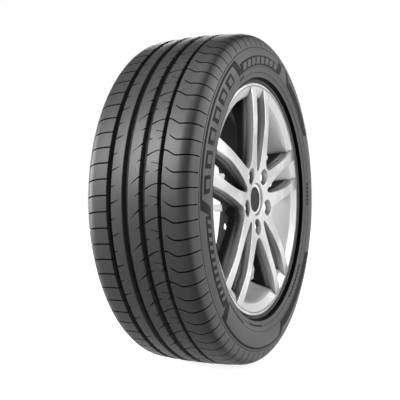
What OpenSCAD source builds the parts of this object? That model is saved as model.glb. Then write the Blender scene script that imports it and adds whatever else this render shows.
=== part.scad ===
/* [Tyre] */
// Outer diameter of the tyre
tyre_od = 679.3; // [660:0.1:700]
// Width of the tyre across its sidewalls
tyre_w = 229; // [222:0.5:236]
// Rubber, belts and liner under the crown, tread included
crown_t = 15; // [13:0.5:18]
// Thickness of the sidewall at its widest
sidewall_t = 7; // [5:0.5:9]
// Width of the tread before the shoulder turns down
tread_flat_w = 164; // [150:1:172]
// Radius of the crown across the tread
crown_radius = 1000; // [700:10:2000]
// Drop from the crown to the top of the sidewall, as a share of the rubber's height over the rim
shoulder_share = 0.3365; // [0.3:0.0005:0.37]
// Depth of the four grooves round the tread
groove_depth = 8; // [5:0.1:8.5]
// Width of the two grooves beside the centre rib
centre_groove_w = 12.2; // [8:0.1:14]
// Distance of those two grooves from the middle of the tread
centre_groove_at = 17; // [15:0.5:19]
// Width of the groove beside the outer shoulder
outer_groove_w = 7.2; // [5:0.1:9]
// Width of the groove beside the inner shoulder
inner_groove_w = 9.7; // [6:0.1:11]
// Distance of the two shoulder grooves from the middle of the tread
shoulder_groove_at = 50.5; // [47:0.5:54]
// Number of times that the tread's pattern repeats round the tyre
tread_pitches = 37; // [30:1:44]
// Width of the cross cuts in the tread's shoulders
sipe_w = 1.9; // [1.2:0.1:2.4]
// Depth of those cuts
sipe_depth = 5; // [3:0.5:6]
// Depth by which the tyre is pressed flat where it stands
stand_flat = 1; // [0.6:0.1:2]

/* [Rim] */
// Diameter of the bead seats
seat_d = 436.6; // [430:0.1:442]
// Width between the two flanges
rim_w = 177.8; // [170:0.1:184]
// Height of a flange above its bead seat
flange_h = 20.3; // [18:0.1:22]
// Thickness of a flange, along the axle
flange_t = 8.1; // [6:0.1:10]
// Width of the flat face round a flange
lip_face_w = 5.6; // [4:0.1:7]
// Depth of the well below the bead seats
well_depth = 21.8; // [18:0.1:26]
// Thickness of the barrel's wall
barrel_t = 5.5; // [4:0.1:7]

/* [Spokes and hub] */
// Number of spoke pairs and of wheel bolts
pairs = 5; // [5:1:5]
// Turn of the wheel about its axle, as it stands
wheel_turn = -2.7; // [-36:0.1:36]
// Distance of the mounting face outboard of the rim's middle
offset_et = 45; // [38:0.5:50]
// Height of the spokes' crown outboard of the rim's middle
crown_s = 100.5; // [97:0.5:106]
// Radius at which the spokes stand out furthest
crown_at_r = 165; // [140:1:180]
// Half width of a pair at the hub, over its spokes
pair_hub = 39.3; // [36:0.1:42]
// Half width of a pair at the rim, over its spokes
pair_rim = 44.2; // [40:0.1:48]
// Half width of the slot between two spokes of a pair, at the rim
slot_rim = 22.3; // [18:0.1:26]
// Radius from the axle to the hub end of that slot
slot_hub_r = 60; // [58:0.5:66]
// Radius from the axle to the hub end of a large window
window_hub_r = 79.5; // [77:0.5:86]
// Width of the ledge along the foot of a spoke's side
ledge_w = 2.6; // [1:0.1:4]
// Depth of that ledge below the face
ledge_depth = 16; // [10:0.5:22]
// Height of the hub's front face outboard of the rim's middle
hub_face_s = 90; // [86:0.5:93]
// Radius of the mounting pad
pad_r = 77; // [74:0.5:82]
// Diameter of the centre bore that fits the car's hub
centre_bore_d = 70.2; // [62:0.1:72]
// Depth of the centre bore
centre_bore_depth = 13; // [10:0.5:16]

/* [Wheel bolts] */
// Diameter of the circle through the bolts
bolt_circle_d = 115; // [112:0.1:118]
// Diameter of the bolt's thread
bolt_d = 14; // [12:0.1:14.5]
// Play of the bolt in its hole, in diameter
bolt_play = 1; // [0.4:0.1:1.6]
// Length of thread that stands out of the mounting face
bolt_free_l = 27; // [20:0.5:32]
// Hexagon of the bolt's head, across its flats
bolt_hex = 19; // [15:0.5:22]
// Height of the hexagon
bolt_hex_h = 16; // [10:0.5:18]
// Diameter of the pocket round a bolt's head
pocket_d = 34; // [30:0.1:36]
// Thickness of the hub under a pocket
pocket_floor_t = 21; // [18:0.5:24]

/* [Centre cap] */
// Diameter of the centre cap
cap_d = 67.6; // [64:0.1:68]
// Diameter of the bore that holds the cap's legs
cap_bore_d = 58; // [52:0.1:59]
// Depth of the cap's seat below the hub's face
cap_seat_depth = 9.5; // [7:0.1:12]
// Diameter of the dark badge disc
badge_d = 52; // [44:0.1:54]
// Thickness of the badge disc
badge_t = 1.2; // [0.8:0.1:1.6]

/* [Valve] */
// Distance of the valve hole outboard of the rim's middle
valve_s = 51; // [50:0.5:52]
// Diameter of the valve hole
valve_hole_d = 11.5; // [10.5:0.1:12]
// Lean of the valve from square to the axle, outboard, in degrees
valve_lean = 37; // [32:1:42]
// Length of the rubber stem outside the rim
stem_l = 13; // [11:0.5:20]
// Wall left between the two faces of the valve hole
valve_wall = 5; // [4:0.1:6]

/* [Hidden] */
$fn = 180;

// Everything is drawn lying down: the axle is the Z axis and outboard is up.
// Sections are lists of [radius, height], where height is outboard of the rim's middle.

tyre_r = tyre_od / 2;
side_s = tyre_w / 2;
seat_r = seat_d / 2;
flange_s = rim_w / 2;
lip_s = flange_s + flange_t;
lip_r = seat_r + flange_h;
lip_in_r = lip_r - 2 - lip_face_w;
seat_slope = tan(5);
bead_w = 16;
arc_steps = 7;

// Points of a quadratic curve from a to c that leaves a and meets c towards b
function curve(a, b, c, n = arc_steps) =
    [for (i = [0:n]) let (t = i / n) a * pow(1 - t, 2) + b * 2 * t * (1 - t) + c * pow(t, 2)];
function tail(points) = [for (i = [1:len(points) - 1]) points[i]];
function flip(points) = [for (i = [len(points) - 1:-1:0]) [points[i].x, -points[i].y]];
function backwards(points) = [for (i = [len(points) - 1:-1:0]) points[i]];
function seat_at(s) = seat_r - (flange_s - s) * seat_slope;
function on_line(a, b, s) = a + (b - a) * (s - a.y) / (b.y - a.y);

module upright() {
    rotate([90, 0, 0]) children();
}

module turned(section) {
    rotate_extrude() polygon(section);
}

// Tyre

function crown_at(s) = tyre_r - s * s / (2 * crown_radius);
function groove(centre, width) = [
    [crown_at(centre - width / 2), centre - width / 2],
    [crown_at(centre) - groove_depth, centre - width / 2 + groove_draft],
    [crown_at(centre) - groove_depth, centre + width / 2 - groove_draft],
    [crown_at(centre + width / 2), centre + width / 2]
];
groove_draft = 1;
shoulder_s = tread_flat_w / 2;
wall_top = [tyre_r - shoulder_share * (tyre_r - lip_r), side_s - 5];
wall_foot = [lip_r + 11.4, side_s - 7.5];

shoulder_bend = [crown_at(shoulder_s) - 3.6, side_s - 8.5];

// The outer skin of one half, from the shoulder down to the toe of the bead
half_skin = concat(
    curve([crown_at(shoulder_s), shoulder_s], shoulder_bend, wall_top),
    tail(curve(wall_top,
               [(wall_top.x + wall_foot.x) / 2 + 3, 2 * side_s - (wall_top.y + wall_foot.y) / 2],
               wall_foot)),
    // The rib that guards the rim, and the hollow between it and the flange
    [[lip_r + 9, wall_foot.y + 0.2], [lip_r + 6.5, wall_foot.y - 3]],
    curve([lip_r + 4.4, flange_s + 9], [lip_r + 5.2, flange_s], [seat_r + 14.2, flange_s]),
    // The heel and the seat of the bead
    [[seat_r + 2, flange_s], [seat_at(flange_s - 2), flange_s - 2],
     [seat_at(flange_s - bead_w), flange_s - bead_w]]
);
crown_skin = concat(
    groove(-shoulder_groove_at, inner_groove_w),
    [[crown_at(-(shoulder_groove_at + centre_groove_at) / 2), -(shoulder_groove_at + centre_groove_at) / 2]],
    groove(-centre_groove_at, centre_groove_w),
    [[tyre_r, 0]],
    groove(centre_groove_at, centre_groove_w),
    [[crown_at((shoulder_groove_at + centre_groove_at) / 2), (shoulder_groove_at + centre_groove_at) / 2]],
    groove(shoulder_groove_at, outer_groove_w)
);
liner_crown = [crown_at(shoulder_s) - crown_t, shoulder_s - 6];
liner_side = [(wall_top.x + wall_foot.x) / 2 + 4.2, side_s - sidewall_t];
half_liner = concat(
    [[seat_r + 4, flange_s - bead_w]],
    curve([seat_r + 14, flange_s - 13], [wall_foot.x + 5, flange_s + 6], liner_side),
    tail(curve(liner_side, [liner_crown.x - 2, side_s - sidewall_t - 1], liner_crown))
);

// Cross cuts of one pitch: the place of each point from the middle of the tread, and its offset round the tyre
first_sipe = 182.4;
outer_long_cut = [
    [shoulder_groove_at, 0], [shoulder_groove_at + 9.4, 0.7], [shoulder_s - 8.6, 8.6],
    [shoulder_s - 2.2, 9.2], [side_s, 5]
];
outer_short_cut = [
    [shoulder_groove_at + 9.4, 4.6], [shoulder_s - 8.6, 13.4], [shoulder_s - 2.2, 13.7], [side_s, 10.6]
];
inner_cut = [
    [-shoulder_groove_at, -9.2], [7 - shoulder_s, -8.4], [-shoulder_s - 8, -6], [-side_s, 1]
];
outer_short_turn = 5.45;
inner_turn = 180 / tread_pitches;

// The layer of rubber that the cuts go through, from a shoulder groove to the top of the sidewall
sipe_end = [wall_top.x + 3.5, wall_top.y - 3];
sipe_zone = concat(
    [[crown_at(shoulder_groove_at) - sipe_depth, shoulder_groove_at]],
    curve([crown_at(shoulder_s) - sipe_depth, shoulder_s - 1],
          shoulder_bend - [sipe_depth, sipe_depth], sipe_end),
    [[sipe_end.x, side_s + 4], [tyre_r + 4, side_s + 4], [tyre_r + 4, shoulder_groove_at]]
);

// An upright sheet of constant width along a cut's path, standing on the axle
module sheet(path, turn) {
    rotate(turn) rotate([0, 90, 0]) translate([0, 0, wall_foot.x]) linear_extrude(tyre_r + 8 - wall_foot.x)
        polygon(concat([for (p = path) [-p.x, p.y - sipe_w / 2]],
                       [for (p = backwards(path)) [-p.x, p.y + sipe_w / 2]]));
}

module shoulder_cuts() {
    pitch = 360 / tread_pitches;
    intersection() {
        turned(sipe_zone);
        for (i = [0:tread_pitches - 1]) rotate(first_sipe - i * pitch) {
            sheet(outer_long_cut, 0);
            sheet(outer_short_cut, -outer_short_turn);
        }
    }
    intersection() {
        turned(flip(sipe_zone));
        for (i = [0:2 * tread_pitches - 1]) rotate(first_sipe - i * inner_turn) sheet(inner_cut, 0);
    }
}

module tyre() {
    color([0.16, 0.16, 0.17]) upright() difference() {
        turned(concat(
            flip(half_skin), crown_skin, half_skin,
            half_liner, [[tyre_r - crown_t, 0]], flip(half_liner)
        ));
        standing_flat();
        shoulder_cuts();
    }
}

module standing_flat() {
    translate([-side_s, -tyre_r - 20 + stand_flat, -side_s]) cube([tyre_w, 20, tyre_w]);
}

// Wheel

well_r = seat_r - well_depth;
// The hub side of the barrel, from the outboard lip inward
barrel_front = [
    [lip_in_r - 1, lip_s - 1.2], [seat_r - 4.5, flange_s], [seat_r - 8, flange_s - 5],
    [seat_r - 13.5, flange_s - 17], [well_r + 2, flange_s - 32], [well_r - barrel_t, offset_et - 3]
];
barrel_rear = [
    [well_r - barrel_t, 12], [seat_r - 7 - barrel_t, -9], [seat_r - 6 - barrel_t, -14],
    [seat_r - 4 - barrel_t, 30 - flange_s], [seat_r - 3 - barrel_t, 8 - flange_s],
    [seat_r - 3, -flange_s], [lip_in_r - 1, 1.2 - lip_s]
];
function flange(side) = let (points = concat(
        [[seat_r, flange_s]],
        curve([seat_r + 11.2, flange_s], [lip_r - 0.3, flange_s], [lip_r, lip_s - 2.8], 5),
        [[lip_r - 0.4, lip_s - 1], [lip_r - 2, lip_s], [lip_in_r, lip_s]]))
    side > 0 ? points : flip(points);
hump = [[seat_at(flange_s - 22), flange_s - 22], [seat_at(flange_s - 24) + 1.2, flange_s - 25],
        [seat_at(flange_s - 28), flange_s - 28]];

barrel_section = concat(
    flange(-1), [for (p = hump) [p.x, -p.y]],
    [[seat_r - 7, -flange_s + 34], [seat_r - 7, -14], [seat_r - 9, -7], [well_r, 12],
     [well_r, offset_et - 3], [well_r + 3, offset_et + 1]],
    backwards(hump), flange(1), barrel_front, barrel_rear
);

// The front and the back of the spokes, from the hub to inside the barrel's wall
cap_seat_r = cap_d / 2 + 0.2;
cap_seat_s = hub_face_s - cap_seat_depth;
face_end = [lip_in_r, lip_s - 0.4];
spoke_front = concat(
    curve([cap_seat_r, hub_face_s], [(cap_seat_r + crown_at_r) / 2 + 10, crown_s - 2],
          [crown_at_r, crown_s]),
    tail(curve([crown_at_r, crown_s], [(crown_at_r + face_end.x) / 2, crown_s], face_end, 5))
);
spoke_root = [
    [lip_in_r - 5, lip_s - 4], [seat_r - 2.3, flange_s - 1.5], [seat_r - 8, flange_s - 17],
    [seat_r - 14, flange_s - 32], [well_r, offset_et]
];
spoke_back = [
    [well_r - barrel_t, offset_et + 1], [well_r - 12, offset_et + 9], [crown_at_r - 5, offset_et + 17],
    [crown_at_r - 45, offset_et + 18.5], [pad_r + 9, offset_et + 15], [pad_r, offset_et]
];
disc_section = concat(spoke_front, spoke_root, spoke_back, [[cap_bore_d / 2, offset_et]],
    [[cap_bore_d / 2, cap_seat_s], [cap_seat_r, cap_seat_s]]);

// Half width over a pair of spokes, at a height z above the axle, grown by e
pair_from = 80;
pair_to = 200;
opening_to = lip_r + 11.4;
function pair_edge(z, e) = [
    pair_hub + (pair_rim - pair_hub) * pow(max(0, z - pair_from) / (pair_to - pair_from), 1.5) + e, z];
function spin(p, angle) = [p.x * cos(angle) - p.y * sin(angle), p.x * sin(angle) + p.y * cos(angle)];
function mirrored(points) = [for (i = [len(points) - 1:-1:0]) [-points[i].x, points[i].y]];

// The large window between two pairs, with its middle line upwards
module window(e) {
    left = [for (z = [opening_to, 215, 185, 155, 125, 100]) spin(pair_edge(z, e), 180 / pairs)];
    corner = spin(pair_edge(pair_from, e), 180 / pairs);
    tip = [0, 2 * (window_hub_r + e) - corner.y];
    polygon(concat(left, curve(corner, tip, [-corner.x, corner.y]), mirrored(left)));
}

// The narrow slot between the two spokes of a pair
module slot(e) {
    foot = [5, slot_hub_r + e];
    side = concat([[slot_rim - e - 1.5, opening_to]],
        curve([slot_rim - e, (crown_at_r + pair_to) / 2 - 8],
              [slot_rim - 2 - e, (slot_hub_r + crown_at_r) / 2 - 2.5], foot));
    polygon(concat(side, [[foot.x - 3, foot.y - 2.6]], [[3 - foot.x, foot.y - 2.6]], mirrored(side)));
}

module each_pair(first = 0) {
    for (i = [0:pairs - 1]) rotate(first + i * 360 / pairs) children();
}

module openings(e) {
    linear_extrude(lip_s + 40) {
        each_pair() slot(e);
        each_pair(180 / pairs) window(e);
    }
}

// The zone in front of the ledges
module ledge_zone() {
    turned(concat(
        [for (p = spoke_front) [p.x, p.y - ledge_depth]],
        [[lip_r, lip_s - ledge_depth], [lip_r, crown_s + 10], [cap_seat_r, crown_s + 10]]
    ));
}

bolt_circle_r = bolt_circle_d / 2;
pocket_floor_s = offset_et + pocket_floor_t;
bolt_hole_d = bolt_d + bolt_play;
seat_cone_r = bolt_hole_d / 2 + 5;
seat_cone_h = 5 / tan(30);

module at_bolt(i) {
    rotate(180 / pairs + i * 360 / pairs) translate([0, bolt_circle_r, 0]) children();
}

module bolt_pocket() {
    translate([0, 0, pocket_floor_s]) cylinder(d = pocket_d, h = crown_s + 20 - pocket_floor_s);
    translate([0, 0, pocket_floor_s - seat_cone_h])
        cylinder(r1 = bolt_hole_d / 2, r2 = seat_cone_r, h = seat_cone_h);
    translate([0, 0, offset_et - 1]) cylinder(d = bolt_hole_d, h = pocket_floor_t);
}

pad_pocket_d = 22;
pad_pocket_depth = 15;

module alloy_wheel() {
    color([0.83, 0.84, 0.85]) upright() rotate(wheel_turn) difference() {
        union() {
            turned(barrel_section);
            difference() {
                turned(disc_section);
                openings(ledge_w);
                intersection() {
                    openings(0);
                    ledge_zone();
                }
            }
        }
        for (i = [0:pairs - 1]) at_bolt(i) bolt_pocket();
        // The centre bore, and the groove that the cap's legs snap into
        translate([0, 0, offset_et - 1]) cylinder(d = centre_bore_d, h = centre_bore_depth + 1);
        translate([0, 0, leg_groove_s]) cylinder(r = leg_groove_r, h = leg_groove_w);
        // The hollows that lighten the mounting pad between the bolts
        each_pair() translate([0, bolt_circle_r, offset_et - 1])
            cylinder(d = pad_pocket_d, h = pad_pocket_depth + 1);
        at_valve() valve_seat_cuts();
    }
}

// Centre cap

cap_r = cap_d / 2;
leg_groove_w = 4;
leg_reach = 15;
leg_groove_s = cap_seat_s - leg_reach;
leg_groove_r = cap_bore_d / 2 + 1.2;
leg_r = cap_bore_d / 2 - 0.3;
leg_t = 2;
leg_end_s = leg_groove_s - 0.8;
cap_rise = 5.5;
cap_front_s = cap_seat_s + cap_rise;
badge_sink = 2.2;
badge_seat_s = cap_front_s - badge_sink;
ring_w = 1.6;

module centre_cap() {
    color([0.78, 0.79, 0.8]) upright() rotate(wheel_turn) difference() {
        turned(concat(
            [[0, cap_seat_s + 0.6], [leg_r - leg_t, cap_seat_s - 0.4], [leg_r - leg_t, leg_end_s],
             [leg_r - 0.8, leg_end_s], [leg_groove_r - 0.3, leg_groove_s + 1.4],
             [leg_groove_r - 0.3, leg_groove_s + leg_groove_w - 0.2],
             [leg_r, leg_groove_s + leg_groove_w - 0.2], [leg_r, cap_seat_s], [cap_r, cap_seat_s]],
            curve([cap_r, cap_seat_s + 3], [cap_r - 0.5, cap_front_s + 1.2], [badge_d / 2 + 2.6, cap_front_s], 5),
            [[badge_d / 2, badge_seat_s + badge_t + 0.6], [badge_d / 2, badge_seat_s], [0, badge_seat_s]]
        ));
        // The slits between the legs
        for (a = [0:60:300]) rotate(a)
            translate([0, -2, leg_end_s - 1]) cube([cap_r, 4, cap_seat_s - leg_end_s - 1]);
    }
}

module cap_badge() {
    color([0.2, 0.2, 0.21]) upright() rotate(wheel_turn)
        turned(concat([[0, badge_seat_s], [badge_d / 2 - 0.15, badge_seat_s]],
            curve([badge_d / 2 - 0.15, badge_seat_s + badge_t - 0.4],
                  [badge_d / 4, badge_seat_s + badge_t + 0.4], [0, badge_seat_s + badge_t + 0.5], 5)));
}

module cap_spring_ring() {
    color([0.55, 0.56, 0.58]) upright() rotate(wheel_turn)
        translate([0, 0, leg_groove_s])
            difference() {
                cylinder(r = leg_r - leg_t, h = ring_w);
                translate([0, 0, -1]) cylinder(r = leg_r - leg_t - ring_w, h = ring_w + 2);
                translate([0, -3, -1]) cube([cap_r, 6, ring_w + 2]);
            }
}

// Wheel bolts

bolt_head_s = pocket_floor_s + 1.5;

bolt_dome_r = bolt_hex / 2 - 1.6;
// The plain shank inside the hub is a little thinner than the thread
shank_r = bolt_d / 2 - 0.5;
thread_end = 0.5;
bolt_core = concat(
    [[0, offset_et - bolt_free_l], [bolt_d / 2 - 1, offset_et - bolt_free_l],
     [bolt_d / 2, offset_et - bolt_free_l + 1], [bolt_d / 2, offset_et - thread_end],
     [shank_r, offset_et], [shank_r, pocket_floor_s - seat_cone_h],
     [bolt_hole_d / 2, pocket_floor_s - seat_cone_h], [seat_cone_r, pocket_floor_s],
     [seat_cone_r, bolt_head_s], [bolt_dome_r, bolt_head_s]],
    curve([bolt_dome_r, bolt_head_s + bolt_hex_h], [bolt_dome_r - 0.6, bolt_head_s + bolt_hex_h + 2.4],
          [0, bolt_head_s + bolt_hex_h + 2.6], 4)
);
module wheel_bolt(i) {
    color([0.72, 0.73, 0.74]) upright() rotate(wheel_turn) at_bolt(i) union() {
        turned(bolt_core);
        translate([0, 0, bolt_head_s]) intersection() {
            cylinder(d = bolt_hex / cos(30), h = bolt_hex_h, $fn = 6);
            turned([[0, -1], [bolt_hex, -1], [bolt_hex, bolt_hex_h - 3],
                    [bolt_dome_r + 0.2, bolt_hex_h + 1], [0, bolt_hex_h + 1]]);
        }
    }
}

// Valve

valve_angle = 180 / pairs + 360 / pairs;
valve_at_r = (seat_r - 13.5 + well_r) / 2 + 3;
spot_d = 20;

// The valve's own frame: its Z axis runs out of the rim towards the hub and outboard
module at_valve() {
    rotate(valve_angle) translate([0, valve_at_r, valve_s]) rotate([90 - valve_lean, 0, 0]) children();
}

module valve_seat_cuts() {
    translate([0, 0, -40]) cylinder(d = valve_hole_d, h = 80);
    translate([0, 0, valve_wall / 2]) cylinder(d = spot_d, h = 12);
    translate([0, 0, -valve_wall / 2 - 12]) cylinder(d = spot_d, h = 12);
}

tube_r = 3.85;
tube_bore_r = 2.6;
tube_out = 9;
tube_end = valve_wall / 2 + stem_l + tube_out;
bulb_l = 14;

module valve_stem() {
    color([0.1, 0.1, 0.1]) upright() rotate(wheel_turn) at_valve() turned(concat(
        [[tube_r, -valve_wall / 2 - bulb_l + 4], [4.5, -valve_wall / 2 - bulb_l]],
        [[6.5, -valve_wall / 2 - bulb_l], [9.2, -valve_wall / 2 - 3], [9.2, -valve_wall / 2],
         [valve_hole_d / 2, -valve_wall / 2], [valve_hole_d / 2, valve_wall / 2], [7.6, valve_wall / 2],
         [7.4, valve_wall / 2 + 3], [6, valve_wall / 2 + 9], [5.3, valve_wall / 2 + stem_l - 2],
         [4.6, valve_wall / 2 + stem_l], [tube_r, valve_wall / 2 + stem_l]]
    ));
}

module valve_tube() {
    color([0.75, 0.62, 0.36]) upright() rotate(wheel_turn) at_valve() turned([
        [tube_bore_r, -valve_wall / 2 - bulb_l + 4], [tube_r, -valve_wall / 2 - bulb_l + 4],
        [tube_r, tube_end - 0.6], [tube_r - 0.6, tube_end], [tube_bore_r, tube_end]
    ]);
}

core_l = 20;

module valve_core() {
    color([0.8, 0.72, 0.45]) upright() rotate(wheel_turn) at_valve() translate([0, 0, tube_end - 1]) turned([
        [0, -core_l], [1.6, -core_l], [1.6, -core_l + 5], [0.8, -core_l + 5], [0.8, -8],
        [tube_bore_r, -6.5], [tube_bore_r, -1.5], [1.7, -1.5], [1.7, 0], [0.8, 0], [0.8, 0.8], [0, 0.8]
    ]);
}

cap_l = 11.5;
cap_roof = 1.6;

module valve_cap() {
    color([0.12, 0.12, 0.12]) upright() rotate(wheel_turn) at_valve()
        translate([0, 0, tube_end + 0.2 - cap_l + cap_roof + 1]) difference() {
            turned([[0, cap_l], [3.4, cap_l], [4.6, cap_l - 1.2], [5.1, 0.6], [4.9, 0],
                    [tube_r, 0], [tube_r, cap_l - cap_roof], [0, cap_l - cap_roof]]);
            for (a = [0:30:330]) rotate(a)
                translate([5.35, 0, 1.6]) cylinder(r = 0.75, h = cap_l, $fn = 24);
        }
}

// Balance weights: strips of small blocks on a tape, stuck inside the barrel

block_l = 19;
block_w = 17;
block_t = 3.6;
tape_t = 0.8;
block_gap = 1;
// Place of each strip: its height, and the angle at which it starts
middle_strip_s = -0.146 * rim_w;
middle_strip_from = 96;
inboard_strip_s = -0.264 * rim_w;
inboard_strip_from = 212;

// The strip lies on the wall between a and b, centred at height s, with n blocks from an angle on
function inside(p, t) = [p.x - t, p.y];
module balance_strip(a, b, s, n, from) {
    low = on_line(a, b, s - block_w / 2);
    high = on_line(a, b, s + block_w / 2);
    step = (block_l + block_gap) / low.x * 180 / PI;
    union() {
        rotate(from) rotate_extrude(angle = n * step)
            polygon([low, high, inside(high, tape_t), inside(low, tape_t)]);
        for (i = [0:n - 1]) rotate(from + (i + 0.025) * step) rotate_extrude(angle = step * 0.95)
            polygon([inside(low, tape_t / 2), inside(high, tape_t / 2),
                     inside(high, tape_t + block_t) - [0, 1.5], inside(low, tape_t + block_t) + [0, 1.5]]);
    }
}

module balance_strip_middle() {
    color([0.5, 0.51, 0.53]) upright() rotate(wheel_turn)
        balance_strip(barrel_rear[2], barrel_rear[3], middle_strip_s, 4, middle_strip_from);
}

module balance_strip_inboard() {
    color([0.5, 0.51, 0.53]) upright() rotate(wheel_turn)
        balance_strip(barrel_rear[2], barrel_rear[3], inboard_strip_s, 6, inboard_strip_from);
}

tyre();
alloy_wheel();
centre_cap();
cap_badge();
cap_spring_ring();
valve_stem();
valve_tube();
valve_core();
valve_cap();
for (i = [0:pairs - 1])
    wheel_bolt(i);
balance_strip_middle();
balance_strip_inboard();
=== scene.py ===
import math

import bpy
from mathutils import Matrix, Vector


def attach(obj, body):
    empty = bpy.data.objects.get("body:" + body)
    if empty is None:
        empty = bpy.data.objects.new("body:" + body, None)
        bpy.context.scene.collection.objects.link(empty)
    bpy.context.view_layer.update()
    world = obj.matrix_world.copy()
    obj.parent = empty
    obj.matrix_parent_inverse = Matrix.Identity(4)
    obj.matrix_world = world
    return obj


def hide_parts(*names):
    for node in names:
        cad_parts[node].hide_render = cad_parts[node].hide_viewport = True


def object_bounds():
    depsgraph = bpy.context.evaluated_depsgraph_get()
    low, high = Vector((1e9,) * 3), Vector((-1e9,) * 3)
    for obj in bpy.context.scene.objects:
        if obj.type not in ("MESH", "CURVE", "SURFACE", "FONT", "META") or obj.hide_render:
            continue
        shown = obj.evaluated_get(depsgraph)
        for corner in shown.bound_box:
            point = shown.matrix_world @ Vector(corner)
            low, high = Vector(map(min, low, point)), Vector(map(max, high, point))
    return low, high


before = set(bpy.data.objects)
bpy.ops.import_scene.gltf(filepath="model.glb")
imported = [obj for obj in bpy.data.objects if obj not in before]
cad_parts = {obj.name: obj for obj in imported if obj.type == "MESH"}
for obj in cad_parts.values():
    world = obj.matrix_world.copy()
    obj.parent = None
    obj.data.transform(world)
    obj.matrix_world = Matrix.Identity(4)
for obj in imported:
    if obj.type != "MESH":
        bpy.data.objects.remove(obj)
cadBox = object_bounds()

mm = 0.001


def deselectAll():
    for thing in bpy.context.selected_objects:
        thing.select_set(False)


def makeActive(thing):
    deselectAll()
    thing.select_set(True)
    bpy.context.view_layer.objects.active = thing


def editMode(thing, kind="VERT"):
    makeActive(thing)
    bpy.ops.object.mode_set(mode="EDIT")
    bpy.ops.mesh.select_mode(type=kind)


def objectMode():
    bpy.ops.object.mode_set(mode="OBJECT")


def curvePoints(a, b, c, steps):
    a, b, c = Vector(a), Vector(b), Vector(c)  # leaves a and meets c, both towards b
    points = []
    for i in range(steps + 1):
        t = i / steps
        points.append(tuple(a * (1 - t) ** 2 + b * 2 * t * (1 - t) + c * t ** 2))
    return points


# Shader maths: sockets that can be added, multiplied and compared

class Sock:
    def __init__(self, shader, socket):
        self.shader = shader
        self.socket = socket

    def maths(self, kind, *others):
        values = {i: other for i, other in enumerate((self,) + others)}
        return self.shader.node("ShaderNodeMath", {"operation": kind}, values).out(0)

    def __add__(self, other):
        return self.maths("ADD", other)

    def __sub__(self, other):
        return self.maths("SUBTRACT", other)

    def __mul__(self, other):
        return self.maths("MULTIPLY", other)

    def __rsub__(self, other):
        return self * -1 + other

    def fade(self, low, high):
        inputs = {"Value": self, "From Min": low, "From Max": high}
        settings = {"interpolation_type": "SMOOTHSTEP"}
        return self.shader.node("ShaderNodeMapRange", settings, inputs).out("Result")


class Node:
    def __init__(self, shader, node):
        self.shader = shader
        self.node = node

    def out(self, name):
        return Sock(self.shader, self.node.outputs[name])


class Shader:
    def __init__(self, name):
        self.material = bpy.data.materials.new(name)
        self.material.use_nodes = True
        self.tree = self.material.node_tree
        self.tree.nodes.clear()

    def node(self, kind, settings=None, inputs=None):
        made = self.tree.nodes.new(kind)
        for key, value in (settings or {}).items():
            setattr(made, key, value)
        for key, value in (inputs or {}).items():
            if isinstance(value, Sock):
                self.tree.links.new(value.socket, made.inputs[key])
            else:
                made.inputs[key].default_value = value
        return Node(self, made)

    def place(self):
        return self.node("ShaderNodeTexCoord").out("Object")

    def noise(self, scale, detail):
        inputs = {"Vector": self.place(), "Scale": scale, "Detail": detail}
        return self.node("ShaderNodeTexNoise", None, inputs).out("Fac")

    def split(self, vector):
        parts = self.node("ShaderNodeSeparateXYZ", None, {"Vector": vector})
        return parts.out("X"), parts.out("Y"), parts.out("Z")

    def normal(self):
        return self.node("ShaderNodeTexCoord").out("Normal")

    def fromAxle(self):
        x, y, z = self.split(self.place())
        return (x * x + z * z).maths("SQRT")

    def blendColours(self, factor, first, second):
        made = self.node("ShaderNodeMix", {"data_type": "RGBA"})
        for key, value in ((0, factor), (6, first), (7, second)):
            if isinstance(value, Sock):
                self.tree.links.new(value.socket, made.node.inputs[key])
            else:
                made.node.inputs[key].default_value = value
        return Sock(self, made.node.outputs[2])

    def openness(self, reach):
        # One on a free surface, towards nothing down in a groove or a corner
        settings = {"samples": 8, "only_local": True}
        return self.node("ShaderNodeAmbientOcclusion", settings, {"Distance": reach}).out("AO")

    def bump(self, height, strength, distance, edge=0):
        inputs = {"Height": height, "Strength": strength, "Distance": distance}
        if edge:
            inputs["Normal"] = self.node("ShaderNodeBevel", {"samples": 6}, {"Radius": edge}).out("Normal")
        return self.node("ShaderNodeBump", None, inputs).out("Normal")

    def finish(self, **sockets):
        named = {key.replace("_", " "): value for key, value in sockets.items()}
        body = self.node("ShaderNodeBsdfPrincipled", None, named)
        self.node("ShaderNodeOutputMaterial", None, {"Surface": body.out("BSDF")})
        return self.material


def grey(value, blue=1.0):
    return (value, value, value * blue, 1)


# Scale, detail, strength and depth in metres of the fine grain; scale and detail of the clouds
texture = {
    "rubber": (900, 2, 0.25, 0.0002), "metal": (500, 2, 0.08, 0.0001), "paint": (600, 2, 0.05, 0.0001),
    "rubberCloud": (14, 4), "metalCloud": (22, 3), "brassCloud": (300, 3), "paintCloud": (26, 0),
    "cloud": (0.3, 0.7), "finerCloud": (0.35, 0.65),
}


def grained(shader, kind, edge=0):
    scale, detail, strength, depth = texture[kind]
    return shader.bump(shader.noise(scale, detail), strength, depth, edge)


def uneven(cloud, rough, spread):
    # Varies by the spread, with the roughness given as its middle
    return cloud * spread + (rough - spread / 2)


def makeRubber(name, tone, rough, shade=0.15):
    shader = Shader(name)
    cloud = shader.noise(*texture["rubberCloud"])
    dark, light = grey(tone * (1 - shade)), grey(tone * (1 + shade))
    return shader.finish(
        Base_Color=shader.blendColours(cloud.fade(*texture["cloud"]), dark, light),
        Roughness=uneven(cloud, rough, 0.12), Normal=grained(shader, "rubber"), Specular_IOR_Level=0.45)


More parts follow.
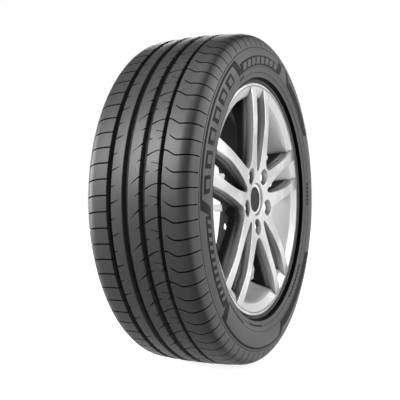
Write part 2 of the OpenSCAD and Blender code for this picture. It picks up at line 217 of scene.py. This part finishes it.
# Openness runs from 0 to 1. Where it is low, in grooves, sipes and corners, the rubber is painted black as
# painted shade. A collar of rubber lies on the flange and gets a lighter grey as a painted highlight, with a
# dark gap outside it that is a painted shadow
rubberPaintedShade = {
    "reach": 0.012, "shutBelow": 0.55, "openAbove": 0.98, "wallFrom": 0.6, "wallTo": 0.9, "wallOpen": 0.5,
    "collarFrom": 0.2432, "collarTo": 0.244, "collarHighlightTone": 0.08, "gapFrom": 0.2482, "gapTo": 0.2488,
    "deep": 0.0005, "deepMetal": 0.9, "deepRough": 0.3, "shine": 0.11,
}


def makeTyreRubber(name, treadTone, wallTone, rough, paint=rubberPaintedShade):
    # Dark on the tread, greyer on the sidewall. Down in the grooves and beside the flange it is made black
    # and matt, which is painted shade there, and the collar on the flange is lightened, which is a painted
    # highlight
    shader = Shader(name)
    cloud = shader.noise(*texture["rubberCloud"])
    sideways = shader.split(shader.normal())[1].maths("ABSOLUTE")
    wall = sideways.fade(paint["wallFrom"], paint["wallTo"])
    # Painted shade: shut-in places such as grooves, sipes and corners are made black, and faces that look
    # sideways are darkened by at most half
    free = shader.openness(paint["reach"]).fade(paint["shutBelow"], paint["openAbove"])
    free = free.maths("MAXIMUM", wall * paint["wallOpen"])
    radius = shader.fromAxle()
    # Painted highlight: inside the collar radius, the rubber on the flange gets a lighter grey and is never
    # darkened
    beyondCollar = radius.fade(paint["collarFrom"], paint["collarTo"])
    # Painted shadow: a black ring just outside the collar, in the groove beside the flange
    gapShadow = beyondCollar * (1 - radius.fade(paint["gapFrom"], paint["gapTo"]))
    free = free.maths("MAXIMUM", 1 - beyondCollar) * (1 - gapShadow)
    colour = shader.blendColours(wall, grey(treadTone), grey(wallTone))
    colour = shader.blendColours(beyondCollar, grey(paint["collarHighlightTone"]), colour)
    colour = shader.blendColours(free, grey(paint["deep"]), colour)
    # Painted shade: in the dark places the rubber is also made metallic and rougher, so that it reflects
    # nothing
    return shader.finish(
        Base_Color=colour, Metallic=(1 - free) * paint["deepMetal"],
        Roughness=uneven(cloud, rough, 0.12) + (1 - free) * paint["deepRough"],
        Normal=grained(shader, "rubber"), Specular_IOR_Level=paint["shine"])


coldTint = 1.01


def makeMetal(name, tone, rough, metallic=1.0, shine=0.5, shade=0.04):
    shader = Shader(name)
    cloud = shader.noise(*texture["metalCloud"])
    dark, light = grey(tone * (1 - shade), coldTint), grey(tone, coldTint)
    return shader.finish(
        Base_Color=shader.blendColours(cloud.fade(*texture["cloud"]), dark, light), Metallic=metallic,
        Roughness=uneven(cloud, rough, 0.06), Normal=grained(shader, "metal"), Specular_IOR_Level=shine)


# Depths are along the axle, where the outboard lip lies at -0.097 metres. The cone tone is a painted
# reflection; the wall and deep tones are painted shade down the spokes' sides and in the barrel
wheelToneAndPaintedShade = {
    "face": 0.54, "band": 0.12, "cone": 0.33, "wall": 0.5, "back": 0.12, "deep": 0.006,
    "faceFrom": 0.94, "faceTo": 0.975, "coneFrom": 0.2, "coneTo": 0.34, "backFrom": 0.88, "backTo": 0.94,
    "frontTo": -0.0875, "ledgeFrom": -0.0855, "wallFrom": -0.1, "wallTo": -0.074,
    "coneLitTo": -0.05, "coneDarkFrom": -0.01,
    "line": 0.2318, "lineHalf": 0.0004, "lineSoft": 0.0016, "lineShare": 0.8,
    "crease": 0.012, "creaseFrom": 0.25, "creaseTo": 0.8, "edge": 0.0022,
    "metal": 0.92, "satin": 0.6, "smooth": 0.3, "rough": 0.8, "coat": 0.1, "coatRough": 0.06,
}


def makeWheelWithPaintedShade(name, paint):
    # Bright on the faces; a painted reflection on the outboard cone, fading deeper in; painted shade fading
    # down the spokes' sides and dark in the barrel and in creases; grey backs
    shader = Shader(name)
    x, y, z = shader.split(shader.place())
    towardsX, towardsY, towardsZ = shader.split(shader.normal())
    radius = shader.fromAxle()
    inward = (towardsX * x + towardsZ * z) * -1
    inward = inward.maths("DIVIDE", radius + mm)
    front = 1 - y.fade(paint["frontTo"], paint["ledgeFrom"])
    facing = (towardsY * -1).fade(paint["faceFrom"], paint["faceTo"]) * front
    # Painted reflection: the inward-facing cone of the barrel gets a bright grey near the front, fading out
    # deeper in
    lit = 1 - y.fade(paint["coneLitTo"], paint["coneDarkFrom"])
    cone = inward.fade(paint["coneFrom"], paint["coneTo"]) * lit
    fromLine = (radius - paint["line"]).maths("ABSOLUTE")
    line = 1 - fromLine.fade(paint["lineHalf"], paint["lineSoft"])
    bright = facing.maths("MAXIMUM", cone)
    # Painted shade: the spokes' sides and the barrel darken with depth, from a light grey near the face to
    # near black deep inside
    side = 1 - y.fade(paint["wallFrom"], paint["wallTo"])
    back = towardsY.fade(paint["backFrom"], paint["backTo"])
    bands = shader.noise(*texture["paintCloud"]).fade(*texture["cloud"])
    dark, light = grey(paint["face"] - paint["band"], coldTint), grey(paint["face"], coldTint)
    face = shader.blendColours(facing, grey(paint["cone"], coldTint), shader.blendColours(bands, dark, light))
    face = shader.blendColours(line * paint["lineShare"], face, grey(paint["deep"]))
    painted = shader.blendColours(side, grey(paint["deep"]), grey(paint["wall"]))
    painted = shader.blendColours(back, painted, grey(paint["back"]))
    painted = shader.blendColours(bright, painted, face)
    # Painted shade: creases and corners are made near black
    free = shader.openness(paint["crease"]).fade(paint["creaseFrom"], paint["creaseTo"])
    glossy = bright.maths("MAXIMUM", side)
    return shader.finish(
        Base_Color=shader.blendColours(free, grey(paint["deep"]), painted),
        Metallic=paint["metal"] - cone * paint["satin"],
        Roughness=glossy * (paint["smooth"] - paint["rough"]) + paint["rough"],
        Normal=grained(shader, "paint", paint["edge"]),
        Coat_Weight=bright * paint["coat"], Coat_Roughness=paint["coatRough"])


def tintMetal(name, tint, rough, shade=0.15):
    shader = Shader(name)
    cloud = shader.noise(*texture["brassCloud"])
    dark = tuple(channel * (1 - shade) for channel in tint[:3]) + (1,)
    return shader.finish(
        Base_Color=shader.blendColours(cloud.fade(*texture["finerCloud"]), dark, tint), Metallic=1.0,
        Roughness=cloud * 0.1 + rough)


finishes = {
    "rubber": makeTyreRubber("tyreRubber", 0.007, 0.045, 0.46),
    "darkRubber": makeTyreRubber("panelRubber", 0.005, 0.005, 0.7),
    "valveRubber": makeRubber("valveRubber", 0.02, 0.5),
    "plastic": makeRubber("blackPlastic", 0.018, 0.4),
    "alloy": makeWheelWithPaintedShade("silverAlloy", wheelToneAndPaintedShade),
    "ring": makeMetal("capSilver", 0.75, 0.22),
    "badge": makeMetal("darkBadge", 0.02, 0.7, metallic=0, shine=0.08),
    "bolt": makeMetal("boltZinc", 0.85, 0.35, metallic=0),
    "spring": makeMetal("springSteel", 0.55, 0.35),
    "weight": makeMetal("coatedZinc", 0.4, 0.5, metallic=0.6),
    "brass": tintMetal("valveBrass", (0.72, 0.53, 0.24, 1), 0.28),
}


def dress(node, material):
    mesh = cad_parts[node].data
    mesh.materials.clear()
    mesh.materials.append(finishes[material])
    makeActive(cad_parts[node])
    bpy.ops.object.shade_smooth_by_angle(angle=math.radians(28))
    deselectAll()


for node, material in (("alloy_wheel", "alloy"), ("centre_cap", "ring"), ("cap_badge", "badge"),
                       ("cap_spring_ring", "spring"), ("valve_stem", "valveRubber"), ("valve_tube", "brass"),
                       ("valve_core", "brass"), ("valve_cap", "plastic"), ("balance_strip_middle", "weight"),
                       ("balance_strip_inboard", "weight")):
    dress(node, material)
for i in range(5):
    dress(f"wheel_bolt_{i + 1}", "bolt")
print("CAD nodes dressed")

# Tyre: one pitch of the tread is spun, cut with its sipes and repeated round the axle

tyre = {
    "radius": 339.65, "crownRadius": 1000, "shoulderAt": 82, "depth": 8, "pitches": 37, "steps": 8,
    "firstSipe": -2.4, "wedgeFrom": -13, "drawnPitch": 59.3, "flatBelow": 338.65,
    "grooves": ((-50.5, 9.7), (-17, 12.2), (17, 12.2), (50.5, 7.2)),
    "edge": 0.7, "floorRise": 1.4, "floorIn": 0.8, "floorEdge": 2, "crownThick": 15,
    "ribs": (-70, -34, 0, 34, 70), "widest": 280, "ringRoom": 1.6,
    "shoulderSteps": 11, "plainSteps": 6, "wallSteps": 15, "flangeSteps": 6, "linerSteps": 5,
    "shoulder": ((336.29, 82), (332.69, 106), (305.65, 109.5)),
    "wall": ((305.65, 109.5), (280.8, 120.75), (250, 107)),
    "foot": ((247.6, 107.2), (245.1, 104), (243, 97.9)),
    "flange": ((243, 97.9), (243.8, 88.9), (232.5, 88.9)),
    "bead": ((220.3, 88.9), (218.1, 86.9), (216.9, 72.9), (222.3, 72.9)),
    "liner": (((232.3, 75.9), (255, 94.9), (282, 107.5)), ((282, 107.5), (319.3, 106.5), (321.3, 76))),
    "rings": ((307.4, 0.9, 0.7), (268.5, 0.7, 0.5), (257.5, 0.6, 0.5)),
}


def crownAt(s):
    return tyre["radius"] - s * s / (2 * tyre["crownRadius"])


def alongCurve(curve, value, axis):
    # The place on a quadratic curve where one coordinate has the value, and the unit normal there
    a, b, c = (Vector(point) for point in curve)
    bend, slope, start = (a - 2 * b + c)[axis], 2 * (b - a)[axis], a[axis] - value
    root = math.sqrt(max(0, slope ** 2 - 4 * bend * start))
    t = min(1, max(0, (-slope + math.copysign(root, slope)) / (2 * bend)))
    place = a * (1 - t) ** 2 + b * 2 * t * (1 - t) + c * t ** 2
    along = ((b - a) * (1 - t) + (c - b) * t).normalized()
    return place, Vector((along.y, -along.x)) * (1 if along.x < 0 else -1)


def skinAt(s):
    # The outer skin at a distance s from the middle of the tread: place and normal, as (radius, s)
    if abs(s) <= tyre["shoulderAt"]:
        return Vector((crownAt(s), s)), Vector((1, s / tyre["crownRadius"])).normalized()
    place, normal = alongCurve(tyre["shoulder"], abs(s), 1)
    normal = Vector((abs(normal.x), abs(normal.y)))
    side = math.copysign(1, s)
    return Vector((place.x, place.y * side)), Vector((normal.x, normal.y * side))


def wallAt(r):
    curve = tyre["wall"] if r < tyre["wall"][0][0] else tyre["shoulder"]
    place, normal = alongCurve(curve, r, 0)
    return place, Vector((normal.x if r > tyre["widest"] else -abs(normal.x), abs(normal.y)))


def toRow(r, s, angle):
    # The angle runs anticlockwise from +X, seen from outboard
    turn = math.radians(angle)
    return Vector((r * math.cos(turn), -s, r * math.sin(turn))) * mm


def chain(points):
    bpy.ops.mesh.primitive_plane_add(size=mm)
    made = bpy.context.object
    editMode(made)
    bpy.ops.mesh.select_all(action="SELECT")
    bpy.ops.mesh.merge(type="CENTER")
    bpy.ops.transform.translate(value=points[0])
    for before, after in zip(points, points[1:]):
        bpy.ops.mesh.extrude_vertices_move(TRANSFORM_OT_translate={"value": after - before})
    bpy.ops.mesh.select_all(action="SELECT")
    bpy.ops.mesh.edge_face_add()
    bpy.ops.mesh.delete(type="ONLY_FACE")
    bpy.ops.mesh.select_all(action="SELECT")
    return made


def spinClosed(made, steps, angle):
    # Turns a closed outline into a solid; the angle opens the way toRow's angle does
    bpy.ops.mesh.spin(steps=steps, angle=math.radians(angle), center=(0, 0, 0), axis=(0, 1, 0))
    bpy.ops.mesh.select_all(action="SELECT")
    bpy.ops.mesh.fill_holes(sides=0)
    bpy.ops.mesh.select_all(action="SELECT")
    bpy.ops.mesh.normals_make_consistent(inside=False)
    objectMode()
    return made


def joinAll(pieces):
    makeActive(pieces[0])
    for piece in pieces:
        piece.select_set(True)
    if len(pieces) > 1:
        bpy.ops.object.join()
    return bpy.context.object


def cutWith(body, cutter):
    makeActive(body)
    cut = body.modifiers.new("cut", "BOOLEAN")
    cut.operation = "DIFFERENCE"
    cut.solver = "EXACT"
    cut.object = cutter
    bpy.ops.object.modifier_apply(modifier=cut.name)
    cutterMesh = cutter.data
    bpy.data.objects.remove(cutter)
    bpy.data.meshes.remove(cutterMesh)


def grooveOutline(centre, width):
    side, edge, low = centre - width / 2, tyre["edge"], crownAt(centre) - tyre["depth"]
    left = [(crownAt(side - edge), side - edge), (crownAt(side) - edge, side),
            (low + tyre["floorRise"], side + tyre["floorIn"]), (low, side + tyre["floorEdge"])]
    return left + [(r, 2 * centre - s) for r, s in reversed(left)]


def halfSkin():
    points = curvePoints(*tyre["shoulder"], tyre["shoulderSteps"])
    wall = curvePoints(*tyre["wall"], tyre["wallSteps"])[1:]
    for radius, half, depth in tyre["rings"]:
        curve = tyre["wall"] if radius < tyre["wall"][0][0] else tyre["shoulder"]
        ring = [tuple(alongCurve(curve, r, 0)[0] - Vector((0, drop)))
                for r, drop in ((radius + half, 0), (radius, depth), (radius - half, 0))]
        room = tyre["ringRoom"] * half
        points, wall = ([p for p in line if abs(p[0] - radius) > room] for line in (points, wall))
        wall += ring
    plain = points[:tyre["plainSteps"]]
    wall = sorted(points[tyre["plainSteps"]:] + wall, key=lambda point: -point[0])
    flange = curvePoints(*tyre["flange"], tyre["flangeSteps"])
    return plain + wall + list(tyre["foot"])[:2] + flange + list(tyre["bead"])


def tyreSection():
    half = halfSkin()
    crown = []
    for centre, width in tyre["grooves"]:
        crown += grooveOutline(centre, width)
    ribs = [(crownAt(s), s) for s in tyre["ribs"]]
    crown = sorted(crown + ribs, key=lambda point: point[1])
    outer, inner = (curvePoints(*curve, tyre["linerSteps"]) for curve in tyre["liner"])
    liner = outer + inner[1:]
    mirrored = [(r, -s) for r, s in reversed(half)]
    back = [(r, -s) for r, s in reversed(liner)]
    return mirrored + crown + half + liner + [(tyre["radius"] - tyre["crownThick"], 0)] + back


# Sipes of one pitch: distance from the middle of the tread, offset round it and width, in millimetres
sipes = {
    "outerLong": ((51.5, 0, 2), (59.9, -0.7, 1.9), (66.3, -4.6, 1.9), (73.4, -8.8, 1.9), (79.8, -9.5, 1.9),
                  (93, -7.7, 1.8), (102, -6.5, 1.7), (106, -5.9, 1.6), (108.6, -5.5, 1.4)),
    "outerShort": ((59.6, 28.9, 0.8), (63, 26.2, 1.7), (66.3, 23.7, 1.9), (73.4, 19.6, 1.9),
                   (79.8, 19.3, 1.9), (93, 20.2, 1.8), (102, 21.6, 1.7), (106, 22, 1.6), (108.6, 22.4, 1.4)),
    "outerRibLong": ((22, -10.6, 2.6), (28, -7.2, 2), (33.7, -3.7, 1.6), (40, -1.2, 1.3), (48, 0.2, 1.1)),
    "outerRibNick": ((22, 19.4, 2.4), (29.4, 21.7, 0.7)),
    "outerRibThin": ((31.7, 37.8, 0.6), (48, 34.4, 1)),
    "outerRibEdge": ((40.9, 20, 0.5), (48, 25, 1.9)),
    "middleLong": ((-7.1, -3.7, 0.4), (2, 5.4, 1.3), (13, 14, 2.4)),
    "middleShort": ((2.4, 36.9, 0.4), (13, 43.4, 2)),
    "innerRibLong": ((-48.4, 23.2, 2.2), (-38, 27.6, 1.5), (-29.9, 30.9, 0.4)),
    "innerRibShort": ((-48.4, -6.2, 2), (-37.5, -2.3, 0.5)),
    "innerLow": ((-54.5, 9.4, 1.9), (-75, 8.7, 1.9), (-88, 6.9, 1.9), (-96, 4.6, 1.8), (-103, 1.8, 1.7),
                 (-108.3, 0.2, 1.4)),
    "innerHigh": ((-54.5, 39, 1.9), (-75, 38.3, 1.9), (-88, 36.5, 1.9), (-96, 34.2, 1.8), (-103, 31.4, 1.7),
                  (-108.3, 29.8, 1.4)),
}
blade = {"above": 1.6, "below": 5, "widen": 1.4, "arcShare": 0.973}


def bladeAlong(path):
    # A thin upright sheet that follows the skin: its end face is extruded from place to place
    perOffset = 360 / tyre["pitches"] / tyre["drawnPitch"]
    middle = sum(offset for _, offset, _ in path) / len(path)
    bpy.ops.mesh.primitive_plane_add(size=1, rotation=(math.pi / 2, 0, 0))
    made = bpy.context.object
    bpy.ops.object.transform_apply(location=False, rotation=True, scale=False)
    editMode(made)
    bpy.ops.mesh.select_all(action="SELECT")
    height = (blade["above"] + blade["below"]) * mm
    bpy.ops.transform.resize(value=(height, 1, path[0][2] * blade["widen"] * mm))
    here, tilt, width = Vector((0, 0, 0)), 0, path[0][2]
    for i, (s, offset, nextWidth) in enumerate(path):
        place, normal = skinAt(s)
        centre = place + normal * (blade["above"] - blade["below"]) / 2
        there = Vector((-centre.x, -centre.y, (offset - middle) * blade["arcShare"])) * mm
        nextTilt = math.atan2(normal.y, normal.x)
        if i:
            bpy.ops.mesh.extrude_region_move(TRANSFORM_OT_translate={"value": there - here})
        else:
            bpy.ops.transform.translate(value=there)
        bpy.ops.transform.rotate(value=tilt - nextTilt, orient_axis="Z", center_override=there)
        bpy.ops.transform.resize(value=(1, 1, nextWidth / width), center_override=there)
        here, tilt, width = there, nextTilt, nextWidth
    bpy.ops.mesh.select_all(action="SELECT")
    bpy.ops.mesh.normals_make_consistent(inside=False)
    turn = tyre["firstSipe"] + middle * perOffset
    bpy.ops.transform.rotate(value=-math.radians(turn), orient_axis="Y", center_override=(0, 0, 0))
    objectMode()
    return made


def openEnd(made, turn, tolerance=1e-6):
    # Deletes the faces that lie in the half plane through the axle at the turn
    across = Vector((math.sin(turn), 0, math.cos(turn)))
    editMode(made, "FACE")
    bpy.ops.mesh.select_all(action="DESELECT")
    objectMode()
    corners = made.data.vertices
    for face in made.data.polygons:
        face.select = all(abs(corners[i].co.dot(across)) < tolerance for i in face.vertices)
    bpy.ops.object.mode_set(mode="EDIT")
    bpy.ops.mesh.delete(type="ONLY_FACE")
    objectMode()


def pressFlat(made, low):
    editMode(made)
    bpy.ops.mesh.select_all(action="DESELECT")
    objectMode()
    for vertex in made.data.vertices:
        vertex.select = vertex.co.z < -low * mm
    bpy.ops.object.mode_set(mode="EDIT")
    bpy.ops.transform.resize(value=(1, 1, 0), center_override=(0, 0, -low * mm))
    objectMode()


def makeCarcass():
    pitch = 360 / tyre["pitches"]
    perOffset = pitch / tyre["drawnPitch"]
    start = tyre["firstSipe"] + tyre["wedgeFrom"] * perOffset
    wedge = chain([toRow(r, s, 180 - start) for r, s in tyreSection()])
    spinClosed(wedge, tyre["steps"], -pitch)
    cutWith(wedge, joinAll([bladeAlong(path) for path in sipes.values()]))
    for turn in (start, start + pitch):
        openEnd(wedge, math.radians(turn))
    print("one pitch of the tyre:", len(wedge.data.polygons), "faces")
    editMode(wedge)
    bpy.ops.mesh.select_all(action="SELECT")
    around = math.radians(pitch * (tyre["pitches"] - 1))
    bpy.ops.mesh.spin(steps=tyre["pitches"] - 1, angle=around, center=(0, 0, 0), axis=(0, -1, 0), dupli=True)
    bpy.ops.mesh.select_all(action="SELECT")
    bpy.ops.mesh.remove_doubles(threshold=0.01 * mm)
    bpy.ops.mesh.select_all(action="SELECT")
    bpy.ops.mesh.normals_make_consistent(inside=False)
    objectMode()
    pressFlat(wedge, tyre["flatBelow"])
    return wedge


# Each dark panel has marks on it; between two of them lies a plain or marked light field under a thin border.
# Panels: start, end, marks and a mark's share of its step. Fields: start, end and marks.
# Dashes: start, end, inner radius, outer radius and number. Places are in degrees, sizes in millimetres
sidewall = {
    "low": 272, "high": 291, "top": 303.5, "border": 3.4, "rowStep": 5, "turnStep": 2.4,
    "panels": ((76, 117, 8, 0.72), (183, 219, 11, 0.5), (286, 327, 0, 0), (33, 60, 0, 0)),
    "panelLift": 0.35, "panelEnd": 1, "armFoot": 0.4, "armLap": 0.6, "armLean": 3, "armLift": 0.3,
    "markInset": 3, "markLift": 0.8, "markLean": -0.8,
    "fields": ((120, 180, 6), (222, 283, 0), (330, 390, 0)),
    "borderLift": 0.33, "borderLap": 0.4, "fieldEnd": 4,
    "frameFrom": 0.14, "frameShare": 0.72, "frameLift": 0.5, "frameLean": 0.9, "frameRise": 4,
    "frameWall": 3.6, "frameSide": 1.5, "insideLift": 0.75, "insideLean": 0.6,
    "dashes": ((114, 119, 260, 264, 2), (222, 240, 263, 266, 9), (247, 262, 255.5, 258.5, 8),
               (300, 322, 258, 261, 10), (-6, 6, 262, 267, 6)),
    "dashFrom": 0.18, "dashShare": 0.64, "dashLift": 0.45,
}


def strip(r1, r2, start, end, lift, lean, material):
    # A thin patch on the outboard sidewall; its ends lean by so many degrees from r1 to r2
    rows = max(2, round((r2 - r1) / sidewall["rowStep"]))
    points = []
    for side in (lift, -1):
        for i in range(rows + 1):
            share = i / rows if side == lift else 1 - i / rows
            place, normal = wallAt(r1 + (r2 - r1) * share)
            place = place + normal * side
            points.append(toRow(place.x, place.y, start + lean * share))
    steps = max(1, round((end - start) / sidewall["turnStep"]))
    made = spinClosed(chain(points), steps, end - start)
    made.data.materials.append(finishes[material])
    return made


def darkPanels(look):
    low, high, top, inset = look["low"], look["high"], look["top"], look["markInset"]
    foot, lap, lean = low + look["armFoot"], look["armLap"], look["armLean"]
    made = []
    for start, end, marks, share in look["panels"]:
        made.append(strip(low, high, start, end, look["panelLift"], 0, "darkRubber"))
        made.append(strip(foot, top, start - lean, start + lap, look["armLift"], -lean, "darkRubber"))
        made.append(strip(foot, top, end - lap, end + lean, look["armLift"], lean, "darkRubber"))
        step = (end - start - 2 * look["panelEnd"]) / max(1, marks)
        for i in range(marks):
            markStart = start + look["panelEnd"] + (i + 0.5 - share / 2) * step
            made.append(strip(low + inset, high - inset, markStart, markStart + share * step,
                              look["markLift"], look["markLean"], "rubber"))
    return made


def lightFields(look):
    low, high, top = look["low"] + look["markInset"], look["high"] + look["frameRise"], look["top"]
    wall, side, lap = look["frameWall"], look["frameSide"], look["borderLap"]
    made = []
    for start, end, marks in look["fields"]:
        made.append(strip(top - look["border"], top, start - lap, end + lap, look["borderLift"], 0,
                          "darkRubber"))
        step = (end - start - 2 * look["fieldEnd"]) / max(1, marks)
        for i in range(marks):
            left = start + look["fieldEnd"] + (i + look["frameFrom"]) * step
            right = left + look["frameShare"] * step
            made.append(strip(low, high, left, right, look["frameLift"], look["frameLean"], "darkRubber"))
            made.append(strip(low + wall, high - wall, left + side, right - side,
                              look["insideLift"], look["insideLean"], "rubber"))
    return made


def dashRows(look):
    made = []
    for start, end, inner, outer, dashes in look["dashes"]:
        step = (end - start) / dashes
        for i in range(dashes):
            left = start + (i + look["dashFrom"]) * step
            made.append(strip(inner, outer, left, left + look["dashShare"] * step, look["dashLift"], 0,
                              "darkRubber"))
    return made


rubberTyre = makeCarcass()
rubberTyre.data.materials.append(finishes["rubber"])
patches = darkPanels(sidewall) + lightFields(sidewall) + dashRows(sidewall)
print("sidewall patches:", len(patches))
rubberTyre = joinAll([rubberTyre] + patches)
rubberTyre.name = "moulded_tyre"
makeActive(rubberTyre)
bpy.ops.object.shade_smooth_by_angle(angle=math.radians(30))
deselectAll()
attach(rubberTyre, "root")
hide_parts("tyre")
print("tyre built:", len(rubberTyre.data.polygons), "faces")

# Camera, as the photograph was taken

camera = {
    "azimuth": -63.53, "elevation": 2.572, "roll": -1.27,
    "distance": 1.53284, "right": -0.036946, "up": -0.000693, "lens": 65.0, "sensor": 36, "sight": 50,
}


def addCamera(setting):
    a, e, r = (math.radians(setting[key]) for key in ("azimuth", "elevation", "roll"))
    back = Vector((math.sin(a) * math.cos(e), -math.cos(a) * math.cos(e), math.sin(e)))
    right = Vector((math.cos(a), math.sin(a), 0))
    up = back.cross(right)
    place = back * setting["distance"] + right * setting["right"] + up * setting["up"]
    turnedRight = right * math.cos(r) + up * math.sin(r)
    turnedUp = up * math.cos(r) - right * math.sin(r)
    bpy.ops.object.camera_add()
    made = bpy.context.object
    turn = Matrix((turnedRight, turnedUp, back)).transposed().to_4x4()
    made.matrix_world = Matrix.Translation(place) @ turn
    made.data.lens = setting["lens"]
    made.data.sensor_width = setting["sensor"]
    made.data.clip_end = setting["sight"]
    bpy.context.scene.camera = made


addCamera(camera)

studio = {
    "floorBelow": 0.0005, "floorRadius": 3, "floorTone": 0.2,
    "horizonLow": 0.23, "horizonHigh": 0.34, "bright": 1.0, "dim": 0.08, "floorGlow": 0.86,
}


def addArea(name, place, target, size, power):
    bpy.ops.object.light_add(type="AREA", location=place)
    lamp = bpy.context.object
    lamp.name = name
    lamp.data.energy = power
    lamp.data.shape = "RECTANGLE"
    lamp.data.size, lamp.data.size_y = size
    lamp.rotation_euler = (Vector(target) - Vector(place)).to_track_quat("-Z", "Y").to_euler()


# Place, target, size and power of each light
lights = {
    "keyLight": ((1.9, -2.5, 1.2), (0, 0, 0.05), (1.0, 1.6), 90),
    "treadStrip": ((-2.6, 1.25, 1.7), (-0.2, 0, 0.05), (0.9, 2.1), 620),
    "rimLight": ((2.4, 1.2, 1.3), (0, 0, 0.25), (1.2, 1.0), 32),
    "wallStrip": ((0.1, -3.0, 0.8), (-0.1, 0, 0), (0.9, 1.4), 60),
    "edgeStrip": ((-0.7, 2.8, 0.2), (-0.2, 0, 0), (0.5, 2.2), 260),
    "topLight": ((-0.6, 0.1, 2.6), (0, 0, 0), (1.6, 1.6), 90),
}
for lightName, setting in lights.items():
    addArea(lightName, *setting)

floorAt = (0, 0, cadBox[0][2] - studio["floorBelow"])
bpy.ops.mesh.primitive_circle_add(
    vertices=96, radius=studio["floorRadius"], fill_type="NGON", location=floorAt)
floor = bpy.context.object
floor.name = "studioFloor"
floorShader = Shader("paleFloor")
floor.data.materials.append(floorShader.finish(
    Base_Color=grey(studio["floorTone"]), Roughness=0.9, Emission_Color=grey(1),
    Emission_Strength=studio["floorGlow"]))


def addWorld(setting):
    # White at eye level, so that the background is white, and dim overhead, so that the metal has contrast
    world = bpy.data.worlds.new("studioWorld")
    world.use_nodes = True
    nodes, links = world.node_tree.nodes, world.node_tree.links
    way = nodes.new("ShaderNodeTexCoord")
    parts = nodes.new("ShaderNodeSeparateXYZ")
    ramp = nodes.new("ShaderNodeMapRange")
    ramp.interpolation_type = "SMOOTHSTEP"
    for name, value in (("From Min", setting["horizonLow"]), ("From Max", setting["horizonHigh"]),
                        ("To Min", setting["bright"]), ("To Max", setting["dim"])):
        ramp.inputs[name].default_value = value
    links.new(way.outputs["Generated"], parts.inputs[0])
    links.new(parts.outputs["Z"], ramp.inputs["Value"])
    links.new(ramp.outputs["Result"], nodes["Background"].inputs["Strength"])
    nodes["Background"].inputs["Color"].default_value = grey(1)
    bpy.context.scene.world = world


addWorld(studio)
bpy.context.scene.view_settings.view_transform = "Standard"
print("camera, lights and floor placed")
